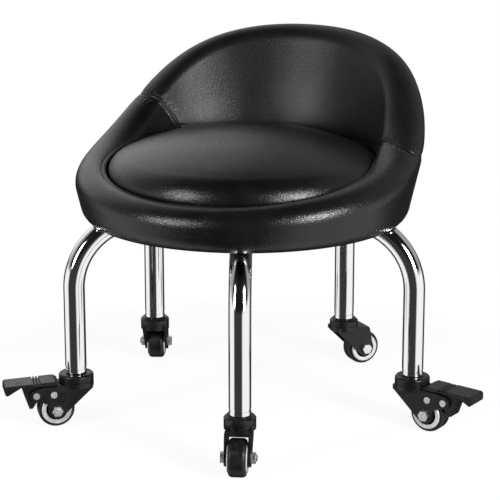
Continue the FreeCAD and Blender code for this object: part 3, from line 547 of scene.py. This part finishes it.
def bolster_outline(angle):
    """One closed section as (radius, height): hem, outside, rim, inside, then the hidden tuck."""
    half = BOLSTER_HALF_WIDTH - BOLSTER_SLACK
    share = rise_share(angle)
    foot = np.array([BOLSTER_RADIUS, BOLSTER_FOOT])
    rim = np.array([BOLSTER_RADIUS + BACK_LEAN * share + SIDE_LEAN * math.sin(angle) ** 2,
                    RING_TOP + (BACK_TOP - RING_TOP) * share - BOLSTER_HALF_WIDTH])
    lean = math.atan2(rim[0] - foot[0], rim[1] - foot[1])
    out = np.array([math.cos(lean), -math.sin(lean)])
    hem_turn = -math.acos((TUCK_RADIUS - BOLSTER_RADIUS) / half)
    outside = np.linspace(foot + half * out, rim + half * out, OUTLINE_STEPS)
    inside = np.linspace(rim - half * out, foot - half * out, OUTLINE_STEPS)
    over = arc_points(rim, half, -lean, math.pi - lean, 4 * OUTLINE_STEPS)
    fuller = SIDE_FULLNESS * ridge(abs(angle), SIDE_FULL_ANGLE, SIDE_FULL_SPREAD)
    over[:, 0] -= fuller * np.sin(np.linspace(0, math.pi / 2, len(over))) ** 4
    inside[:, 0] -= fuller + BACK_FULLNESS * share * np.sin(np.linspace(0, math.pi, len(inside))) ** 2
    hem = arc_points(foot, half, hem_turn, -lean, OUTLINE_STEPS)
    path = np.concatenate([hem, outside[1:], over[1:], inside[1:]])
    meets = next(i for i in range(2 * OUTLINE_STEPS, len(path))
                 if path[i, 1] < CUSHION_TOP and path[i, 0] < cushion_reach(path[i, 1], 0.0) + TUCK_GAP)
    shown = path[:meets + 1]
    main_share = 1 - WELT_ZONE / lengths(shown)[-1]
    shares = np.concatenate([np.linspace(0, main_share, MAIN_ROWS, endpoint=False),
                             np.linspace(main_share, 1, WELT_ROWS)])
    visible = resample(shown, shares)
    start = visible[-1]
    falling = np.linspace(start[1], board_high.z + TUCK_GAP, OUTLINE_STEPS)
    reach = np.array([cushion_reach(z, 0.0) + TUCK_GAP for z in falling])
    reach[0] = start[0]
    behind = np.array([[BOARD_RADIUS + TUCK_GAP, board_high.z + TUCK_GAP],
                       [BOARD_RADIUS + TUCK_GAP, board_low.z - TUCK_GAP],
                       [TUCK_RADIUS, board_low.z - TUCK_GAP],
                       visible[0]])
    hidden = np.concatenate([np.stack([reach, falling], axis=1), behind])
    return np.concatenate([visible, resample(hidden, np.linspace(0, 1, TUCK_ROWS + 2))[1:-1]])


def grid_mesh(name, points, ends):
    """A quad mesh from a grid that wraps along its first axis; its row ends are joined, capped or open."""
    columns, rows = points.shape[:2]
    index = np.arange(columns * rows).reshape(columns, rows)
    across = np.roll(index, -1, axis=0)
    faces = np.stack([index, across, np.roll(across, -1, axis=1), np.roll(index, -1, axis=1)], axis=-1)
    if ends != "joined":
        faces = faces[:, :-1]
    polygons = faces.reshape(-1, 4).tolist()
    if ends == "capped":
        polygons += [index[::-1, 0].tolist(), index[:, -1].tolist()]
    mesh = bpy.data.meshes.new(name)
    mesh.from_pydata(points.reshape(-1, 3).tolist(), [], polygons)
    mesh.polygons.foreach_set("use_smooth", [True] * len(mesh.polygons))
    mesh.validate()
    mesh.update()
    return add_piece(name, mesh)


def grid_normals(points):
    """Outward unit normals of a grid of points that wraps along its first axis."""
    along = np.roll(points, -1, axis=0) - np.roll(points, 1, axis=0)
    up = np.gradient(points, axis=1)
    normals = np.cross(along, up)
    return normals / np.maximum(np.linalg.norm(normals, axis=-1, keepdims=True), 1e-12)


def round_the_seat(angle, radius, height):
    """A point from its angle to the back's middle (+Y), radius and height."""
    return np.stack([-radius * np.sin(angle), radius * np.cos(angle), height], axis=-1)


def swelled(points, held, ends, cap):
    """How far a cover of these points moves when its filling presses it out, held where held is 1."""
    trial = grid_mesh("trial_cover", points, ends)
    pins = trial.vertex_groups.new(name="held")
    for index, weight in enumerate(held.reshape(-1).tolist()):
        if weight > 0:
            pins.add([index], weight, "REPLACE")
    cloth = trial.modifiers.new("filling", "CLOTH")
    cloth.settings.vertex_group_mass = "held"
    cloth.settings.quality = 6
    cloth.settings.use_pressure = True
    cloth.settings.uniform_pressure_force = FILLING_PRESSURE
    cloth.settings.effector_weights.gravity = 0.0
    cloth.collision_settings.use_collision = False
    scene = bpy.context.scene
    for step in range(1, FILLING_STEPS + 1):
        scene.frame_set(step)
    settled = trial.evaluated_get(bpy.context.evaluated_depsgraph_get())
    cover = settled.to_mesh()
    places = np.empty(len(cover.vertices) * 3)
    cover.vertices.foreach_get("co", places)
    settled.to_mesh_clear()
    bpy.data.meshes.remove(trial.data)
    scene.frame_set(1)
    push = ((places.reshape(points.shape) - points) * grid_normals(points)).sum(axis=-1)
    push = np.clip(push, 0.0, cap)
    for _ in range(SWELL_SMOOTHING):
        push = (np.roll(push, 1, axis=0) + 2 * push + np.roll(push, -1, axis=0)) / 4
        push[:, 1:-1] = (push[:, :-2] + 2 * push[:, 1:-1] + push[:, 2:]) / 4
    return push


def bolster_columns():
    """Column angles round the seat, closer together beside the two seams."""
    columns = np.linspace(-math.pi, math.pi, BOLSTER_COLUMNS, endpoint=False)
    close = np.arange(0.0, SEAM_ZONE / 2, SEAM_STEP)
    wider = np.arange(SEAM_ZONE / 2, SEAM_ZONE, 3 * SEAM_STEP)
    beside = np.concatenate([close, wider])
    beside = np.concatenate([-beside[:0:-1], beside]) / SEAM_REACH
    for seam in SEAM_ANGLES:
        columns = columns[np.abs(columns - seam) > SEAM_ZONE / SEAM_REACH]
        columns = np.concatenate([columns, seam + beside])
    return np.sort(columns)


def seam_pull(columns):
    """How much each column leans with the seam near it, signed towards the middle of the back."""
    pull = np.zeros(len(columns))
    for seam in SEAM_ANGLES:
        pull -= math.copysign(1.0, seam) * np.exp(-((columns - seam) / SEAM_SPREAD) ** 2)
    return pull


def by_angle(angles, table):
    """Values at each grid point's angle from a table of one line per degree, row by row."""
    turned = (angles + math.pi) % (2 * math.pi) - math.pi
    known = np.linspace(-math.pi, math.pi, len(table))
    lines = [np.interp(turned[:, row], known, table[:, row]) for row in range(table.shape[1])]
    return np.stack(lines, axis=1)


def bolster_push(table):
    """How far the filling pushes the cover out, worked out on a coarse grid, for each degree and row."""
    rows = table.shape[1]
    picked = np.unique(np.concatenate([np.arange(0, VISIBLE_ROWS, SWELL_ROW_STEP), [VISIBLE_ROWS - 1],
                                       np.arange(VISIBLE_ROWS, rows, SWELL_ROW_STEP)]))
    coarse = table[:-1:SWELL_DEGREES][:, picked]
    angles = np.linspace(-math.pi, math.pi, len(coarse), endpoint=False)
    points = round_the_seat(angles[:, None], coarse[..., 0], coarse[..., 1])
    hidden = (picked < 2) | (picked > VISIBLE_ROWS - WELT_ROWS // 2)
    held = np.zeros(points.shape[:2])
    held[:, hidden] = 1.0
    push = swelled(points, held, "joined", BOLSTER_SWELL)
    push[:, hidden] = 0.0
    push = np.concatenate([push, push[:1]])
    return np.stack([np.interp(np.arange(rows), picked, line) for line in push])


def seam_relief(columns, length, radius):
    """The seams' height: a sewn groove, a stitched line on each side of it and gathers beside it."""
    relief = np.zeros(radius.shape)
    gathers = np.sin(2 * math.pi * length / GATHER_PITCH + 1.7 * np.sin(length / (1.5 * GATHER_PITCH)))
    for seam in SEAM_ANGLES:
        away = np.abs(columns - seam)[:, None] * radius
        relief -= SEAM_DIP * ridge(away, 0.0, SEAM_DIP_WIDTH) + SEAM_DEPTH * ridge(away, 0.0, SEAM_WIDTH)
        relief -= STITCH_DEPTH * ridge(away, STITCH_OFFSET, SEAM_WIDTH)
        relief += GATHER_DEPTH * gathers * ridge(away, 2 * STITCH_OFFSET, STITCH_OFFSET)
    return relief


def hem_gathers(columns, length):
    """The uneven gathers that run up from the hem."""
    wander = 3 * np.sin(5 * columns) + 2 * np.sin(11 * columns + 1.0)
    waves = np.sin(HEM_GATHERS * columns + wander)
    return HEM_GATHER_DEPTH * np.exp(-length / HEM_GATHER_HEIGHT) * waves[:, None]


def filling_lumps(angles, height):
    """The faint lumps of the filling."""
    return LUMP_DEPTH * np.sin(7 * angles + height / LUMP_HEIGHT) * np.sin(4 * angles + 1.3)


def make_bolster():
    """The ring and back in one cover, swelled by its filling, with its seams and sewn edge."""
    table = np.array([bolster_outline(math.radians(degree)) for degree in DEGREES])
    rows = table.shape[1]
    columns = bolster_columns()
    seam_section = table[DEGREES.index(round(math.degrees(SEAM_ANGLES[0])))]
    depth = seam_section[:, 1].max() - seam_section[:, 1]
    slant = SEAM_SLANT * np.tanh(depth / SEAM_SLANT_DEPTH)
    slant[VISIBLE_ROWS:] = np.linspace(slant[VISIBLE_ROWS - 1], slant[0], TUCK_ROWS)
    angles = columns[:, None] + seam_pull(columns)[:, None] * slant
    radius, height = (by_angle(angles, table[..., axis]) for axis in range(2))
    points = round_the_seat(angles, radius, height)
    normals = grid_normals(points)
    length = lengths(seam_section)
    edge = np.linspace(WELT_ZONE, 0.0, WELT_ROWS)
    welt = np.zeros(rows)
    welt[MAIN_ROWS:VISIBLE_ROWS] = WELT_DEPTH * ridge(edge, WELT_OFFSET, SEAM_WIDTH)
    relief = seam_relief(columns, length, radius) - welt
    relief += hem_gathers(columns, length)
    relief += filling_lumps(angles, height)
    fade = [0, RELIEF_FADE_ROWS, VISIBLE_ROWS - RELIEF_FADE_ROWS, VISIBLE_ROWS - 1]
    shown = np.interp(np.arange(rows), fade, [0, 1, 1, 0], right=0)
    points += normals * (by_angle(angles, bolster_push(table)) + relief * shown)[..., None]
    piece = grid_mesh("bolster_cover", points, "joined")
    piece.data.materials.append(RING_LEATHERETTE)
    piece.data.materials.append(BACK_LEATHERETTE)
    of_back = (columns >= min(SEAM_ANGLES)) & (columns < max(SEAM_ANGLES))
    piece.data.polygons.foreach_set("material_index", np.repeat(of_back, rows).astype(int).tolist())
    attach(piece, SEAT_BODY)
    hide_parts("seat_bolster")
    sew_stitches(columns, points[:, STITCHED_ROWS], normals[:, STITCHED_ROWS])


def sew_stitches(columns, points, normals):
    """Thread stitches in the two lines beside each seam."""
    places, faces = [], []
    for seam in SEAM_ANGLES:
        for side in (-1, 1):
            column = np.argmin(np.abs(columns - seam - side * STITCH_OFFSET / SEAM_REACH))
            line, out = points[column], normals[column]
            steps = lengths(line)
            for start in np.arange(0.0, steps[-1] - STITCH_LENGTH, STITCH_PITCH):
                span = start + STITCH_LENGTH * np.linspace(0, 1, THREAD_STEPS)
                middle = np.stack([np.interp(span, steps, axis) for axis in line.T], axis=1)
                up = np.stack([np.interp(span, steps, axis) for axis in out.T], axis=1)
                thread_loop(places, faces, middle, up)
    mesh = bpy.data.meshes.new("seam_stitches")
    mesh.from_pydata(places, [], faces)
    mesh.polygons.foreach_set("use_smooth", [True] * len(mesh.polygons))
    mesh.materials.append(BLACK_THREAD)
    piece = add_piece("seam_stitches", mesh)
    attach(piece, SEAT_BODY)


def thread_loop(places, faces, middle, up):
    """One stitch: a short thread that dives into the cover at both ends."""
    along = np.gradient(middle, axis=0)
    along /= np.linalg.norm(along, axis=1, keepdims=True)
    side = np.cross(along, up)
    arch = np.sin(np.linspace(0, math.pi, len(middle)))
    first = len(places)
    for spot, across, out, lift in zip(middle, side, up, arch):
        thick = THREAD_RADIUS * (0.45 + 0.55 * lift)
        centre = spot + out * THREAD_RADIUS * (1.6 * lift - 0.9)
        for turn in np.arange(THREAD_SIDES) * 2 * math.pi / THREAD_SIDES:
            places.append(tuple(centre + thick * (math.cos(turn) * across + math.sin(turn) * out)))
    for ring in range(first, len(places) - THREAD_SIDES, THREAD_SIDES):
        for corner in range(THREAD_SIDES):
            low = ring + corner
            high = ring + (corner + 1) % THREAD_SIDES
            faces.append((low, high, high + THREAD_SIDES, low + THREAD_SIDES))
    faces.append(tuple(reversed(range(first, first + THREAD_SIDES))))
    faces.append(tuple(range(len(places) - THREAD_SIDES, len(places))))


def make_cushion():
    """The round cushion's cover, held at its foot and swelled by its filling."""
    heights = np.linspace(board_high.z, CUSHION_TOP - CUSHION_SLACK, CUSHION_PROFILE_STEPS)
    path = np.array([[cushion_reach(z, CUSHION_SLACK), z] for z in heights])
    path[-1, 0] = CUSHION_MIDDLE
    profile = resample(path, np.linspace(0, 1, CUSHION_ROWS))
    angles = np.linspace(-math.pi, math.pi, CUSHION_COLUMNS, endpoint=False)
    height = np.broadcast_to(profile[:, 1], (CUSHION_COLUMNS, CUSHION_ROWS))
    points = round_the_seat(angles[:, None], profile[:, 0], height)
    held = np.zeros(height.shape)
    held[:, :CUSHION_HELD_ROWS] = 1.0
    push = swelled(points, held, "capped", CUSHION_SWELL)
    settle = np.sin(np.linspace(0, math.pi / 2, CUSHION_CROWN_ROWS)) ** 2
    crown_push = push[:, -CUSHION_CROWN_ROWS].mean()
    push[:, -CUSHION_CROWN_ROWS:] += settle * (crown_push - push[:, -CUSHION_CROWN_ROWS:])
    points += grid_normals(points) * push[..., None]
    piece = grid_mesh("cushion_cover", points, "capped")
    piece.data.materials.append(CUSHION_LEATHERETTE)
    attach(piece, SEAT_BODY)
    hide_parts("seat_cushion")


# Under the seat

def leg_angles():
    """Each leg's direction round the axis, from its packed tube."""
    angles = []
    for place in PLACES:
        low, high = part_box(f"leg_{place}")
        far_x = low.x if abs(low.x) > abs(high.x) else high.x
        far_y = low.y if abs(low.y) > abs(high.y) else high.y
        angles.append(math.atan2(far_y, far_x))
    return np.array(angles)


def make_dust_cover():
    """The cloth under the board: stapled at its edge, clamped along the legs, slack between them."""
    legs = leg_angles()
    turns = np.linspace(0, 2 * math.pi, COVER_COLUMNS, endpoint=False)
    reach = np.linspace(COVER_MIDDLE, cover_high.x, COVER_ROWS)
    apart = np.abs((turns[:, None] - legs + math.pi) % (2 * math.pi) - math.pi).min(axis=1)
    share = reach / cover_high.x
    free = np.clip(reach * np.sin(apart)[:, None] / LEG_CLAMP - 1.0, 0.0, 1.0)
    slack = COVER_SLACK * free * np.sin(math.pi * share) ** 2
    scallop = COVER_SCALLOP * share ** 12 * np.abs(np.sin(STAPLES / 2 * turns))[:, None]
    height = cover_high.z - COVER_LIFT - slack - scallop
    points = np.stack([reach * np.cos(turns)[:, None], reach * np.sin(turns)[:, None], height], axis=-1)
    piece = grid_mesh("dust_cover_cloth", points[:, ::-1], "open")
    shape = bmesh.new()
    shape.from_mesh(piece.data)
    bolts = bolt_places(legs)
    holes = [face for face in shape.faces
             if min((face.calc_center_median().xy - bolt).length for bolt in bolts) < BOLT_HOLE]
    bmesh.ops.delete(shape, geom=holes, context="FACES")
    shape.to_mesh(piece.data)
    shape.free()
    piece.data.materials.append(DUST_CLOTH)
    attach(piece, SEAT_BODY)
    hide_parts("dust_cover")
    staples = make_staples(cover_high.z - COVER_LIFT)


def bolt_places(legs):
    """Where the leg bolts go through the cloth."""
    return [Vector((reach * math.cos(leg), reach * math.sin(leg)))
            for leg in legs for reach in BOLT_REACHES]


def make_staples(height):
    """Wire staples round the cloth's edge."""
    shape = bmesh.new()
    for number in range(STAPLES):
        turn = 2 * math.pi * number / STAPLES
        made = bmesh.ops.create_cube(shape, size=1.0)["verts"]
        bmesh.ops.scale(shape, verts=made, vec=(STAPLE_WIRE, STAPLE_LENGTH, STAPLE_WIRE / 2))
        place = (cover_high.x - STAPLE_INSET, 0, height - STAPLE_WIRE / 4)
        bmesh.ops.translate(shape, verts=made, vec=place)
        bmesh.ops.rotate(shape, verts=made, cent=(0, 0, 0), matrix=Matrix.Rotation(turn, 3, "Z"))
    mesh = bpy.data.meshes.new("cover_staples")
    shape.to_mesh(mesh)
    shape.free()
    mesh.materials.append(ZINC_STEEL)
    piece = add_piece("cover_staples", mesh)
    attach(piece, SEAT_BODY)
    return piece


# Studio

def bearing_band(tree, bearing, span, softness):
    """One inside a span of bearings, given in degrees, easing to nothing over a soft edge."""
    middle, half = math.radians(sum(span)) / 2, math.radians(span[1] - span[0]) / 2
    away = sums(tree, "ABSOLUTE", sums(tree, "SUBTRACT", bearing, middle))
    edge = math.radians(softness) / 2
    return ranged(tree, away, half - edge, half + edge, 1.0, 0.0)


def low_room(tree, bearing):
    """What reflections see near the horizon: a white wall to each side and dark between."""
    right_wall = bearing_band(tree, bearing, RIGHT_WALL, WALL_SOFTNESS)
    left_wall = bearing_band(tree, bearing, LEFT_WALL, WALL_SOFTNESS)
    walls = sums(tree, "ADD", right_wall, left_wall)
    return ranged(tree, walls, 0.0, 1.0, WALL_GAP_LIGHT, 1.0, smooth=False)


def high_room(tree, bearing, up):
    """What reflections see above: a bright window, a dim room, and dark behind the camera and overhead."""
    behind = bearing_band(tree, bearing, BEHIND_CAMERA, WALL_SOFTNESS)
    open_side = ranged(tree, behind, 0.0, 1.0, 1.0, BEHIND_LIGHT, smooth=False)
    window = bearing_band(tree, bearing, WINDOW, WINDOW_SOFTNESS)
    room = ranged(tree, window, 0.0, 1.0, ROOM_LIGHT, 1.0, smooth=False)
    start, end = (math.sin(math.radians(degrees)) for degrees in CEILING)
    ceiling = ranged(tree, up, start, end, 1.0, CEILING_LIGHT)
    return sums(tree, "MULTIPLY", sums(tree, "MULTIPLY", open_side, room), ceiling)


def light_path_world():
    """White to the camera, an even fill to matt surfaces, and a studio room to reflections."""
    world = bpy.data.worlds.new("studio")
    bpy.context.scene.world = world
    world.use_nodes = True
    tree = world.node_tree
    background = tree.nodes["Background"]
    turned = add(tree, "ShaderNodeVectorRotate", {"rotation_type": "Z_AXIS"}, Angle=-math.radians(CAMERA_DEG))
    tree.links.new(add(tree, "ShaderNodeTexCoord").outputs["Generated"], turned.inputs["Vector"])
    axes = add(tree, "ShaderNodeSeparateXYZ")
    tree.links.new(turned.outputs[0], axes.inputs[0])
    up = axes.outputs["Z"]
    bearing = sums(tree, "ARCTAN2", axes.outputs["X"], sums(tree, "MULTIPLY", axes.outputs["Y"], -1.0))
    low = low_room(tree, bearing)
    high = high_room(tree, bearing, up)
    start, end = (math.sin(math.radians(degrees)) for degrees in HORIZON)
    raised = ranged(tree, up, start, end)
    level = sums(tree, "MULTIPLY_ADD", raised, sums(tree, "SUBTRACT", high, low), low)
    path = add(tree, "ShaderNodeLightPath").outputs
    gloss = sums(tree, "SUBTRACT", level, FILL_LIGHT)
    seen = sums(tree, "MULTIPLY_ADD", path["Is Glossy Ray"], gloss, FILL_LIGHT)
    strength = sums(tree, "MULTIPLY_ADD", path["Is Camera Ray"], sums(tree, "SUBTRACT", 1.0, seen), seen)
    background.inputs["Color"].default_value = grey(1.0)
    tree.links.new(strength, background.inputs["Strength"])


def make_floor():
    """A pale floor that keeps the shadow; it is clear at its rim, from below and to reflections."""
    mesh = bpy.data.meshes.new("floor")
    shape = bmesh.new()
    bmesh.ops.create_circle(shape, cap_ends=True, radius=FLOOR_RADIUS, segments=96)
    shape.to_mesh(mesh)
    shape.free()
    floor = add_piece("floor", mesh)
    floor.location.z = -FLOOR_DROP
    material = bpy.data.materials.new("pale_floor")
    material.use_nodes = True
    tree = material.node_tree
    tree.nodes.remove(tree.nodes["Principled BSDF"])
    matt = add(tree, "ShaderNodeBsdfDiffuse", Color=grey(FLOOR_TONE))
    white = add(tree, "ShaderNodeEmission", Color=grey(1.0), Strength=FLOOR_WHITE)
    clear = add(tree, "ShaderNodeBsdfTransparent")
    path = add(tree, "ShaderNodeLightPath").outputs
    reflected = sums(tree, "MAXIMUM", path["Is Glossy Ray"], path["Is Transmission Ray"])
    shown = add(tree, "ShaderNodeMixShader")
    tree.links.new(sums(tree, "MULTIPLY", path["Is Camera Ray"], FLOOR_GLOW), shown.inputs[0])
    tree.links.new(matt.outputs[0], shown.inputs[1])
    tree.links.new(white.outputs[0], shown.inputs[2])
    length = add(tree, "ShaderNodeVectorMath", {"operation": "LENGTH"})
    tree.links.new(add(tree, "ShaderNodeTexCoord").outputs["Object"], length.inputs[0])
    rim = ranged(tree, length.outputs["Value"], FLOOR_FADE, FLOOR_RADIUS)
    from_below = add(tree, "ShaderNodeNewGeometry").outputs["Backfacing"]
    unseen = sums(tree, "MAXIMUM", sums(tree, "MAXIMUM", from_below, rim), reflected)
    faded = add(tree, "ShaderNodeMixShader")
    tree.links.new(unseen, faded.inputs[0])
    tree.links.new(shown.outputs[0], faded.inputs[1])
    tree.links.new(clear.outputs[0], faded.inputs[2])
    tree.links.new(faded.outputs[0], tree.nodes["Material Output"].inputs["Surface"])
    mesh.materials.append(material)


def soft_box(name, bearing, elevation, width, watts):
    """A softbox at a bearing and elevation in degrees, aimed at the seat and fading to its edges."""
    turn = math.radians(CAMERA_DEG + bearing)
    rise = math.radians(elevation)
    lamp = bpy.data.lights.new(name, "AREA")
    lamp.shape = "RECTANGLE"
    lamp.size = width
    lamp.size_y = LAMP_HEIGHT
    lamp.energy = watts
    lamp.use_nodes = True
    tree = lamp.node_tree
    spot = add(tree, "ShaderNodeSeparateXYZ")
    tree.links.new(add(tree, "ShaderNodeNewGeometry").outputs["Parametric"], spot.inputs[0])
    inward = [sums(tree, "PINGPONG", spot.outputs[axis], 0.5) for axis in ("X", "Y")]
    across, up = (ranged(tree, share, 0.0, LAMP_FADE) for share in inward)
    tree.links.new(sums(tree, "MULTIPLY", across, up), tree.nodes["Emission"].inputs["Strength"])
    holder = bpy.data.objects.new(name, lamp)
    back = Vector((math.sin(turn) * math.cos(rise), -math.cos(turn) * math.cos(rise), math.sin(rise)))
    holder.location = LAMP_AIM + back * LAMP_DISTANCE
    holder.rotation_mode = "QUATERNION"
    holder.rotation_quaternion = (-back).to_track_quat("-Z", "Y")
    bpy.context.scene.collection.objects.link(holder)


def make_camera():
    """The camera, at the photograph's angle."""
    data = bpy.data.cameras.new("camera")
    data.lens = CAMERA_LENS
    data.sensor_width = CAMERA_SENSOR
    camera = bpy.data.objects.new("camera", data)
    camera.location = CAMERA_PLACE
    camera.rotation_mode = "QUATERNION"
    camera.rotation_quaternion = (Vector(CAMERA_TARGET) - Vector(CAMERA_PLACE)).to_track_quat("-Z", "Y")
    bpy.context.scene.collection.objects.link(camera)
    bpy.context.scene.camera = camera


dress_cad_nodes()
make_bolster()
make_cushion()
make_dust_cover()
light_path_world()
make_floor()
soft_box("key_right", bearing=42, elevation=14, width=0.44, watts=38.0)
soft_box("key_left", bearing=-50, elevation=15, width=0.3, watts=18.0)
make_camera()
bpy.context.scene.view_settings.view_transform = "Standard"
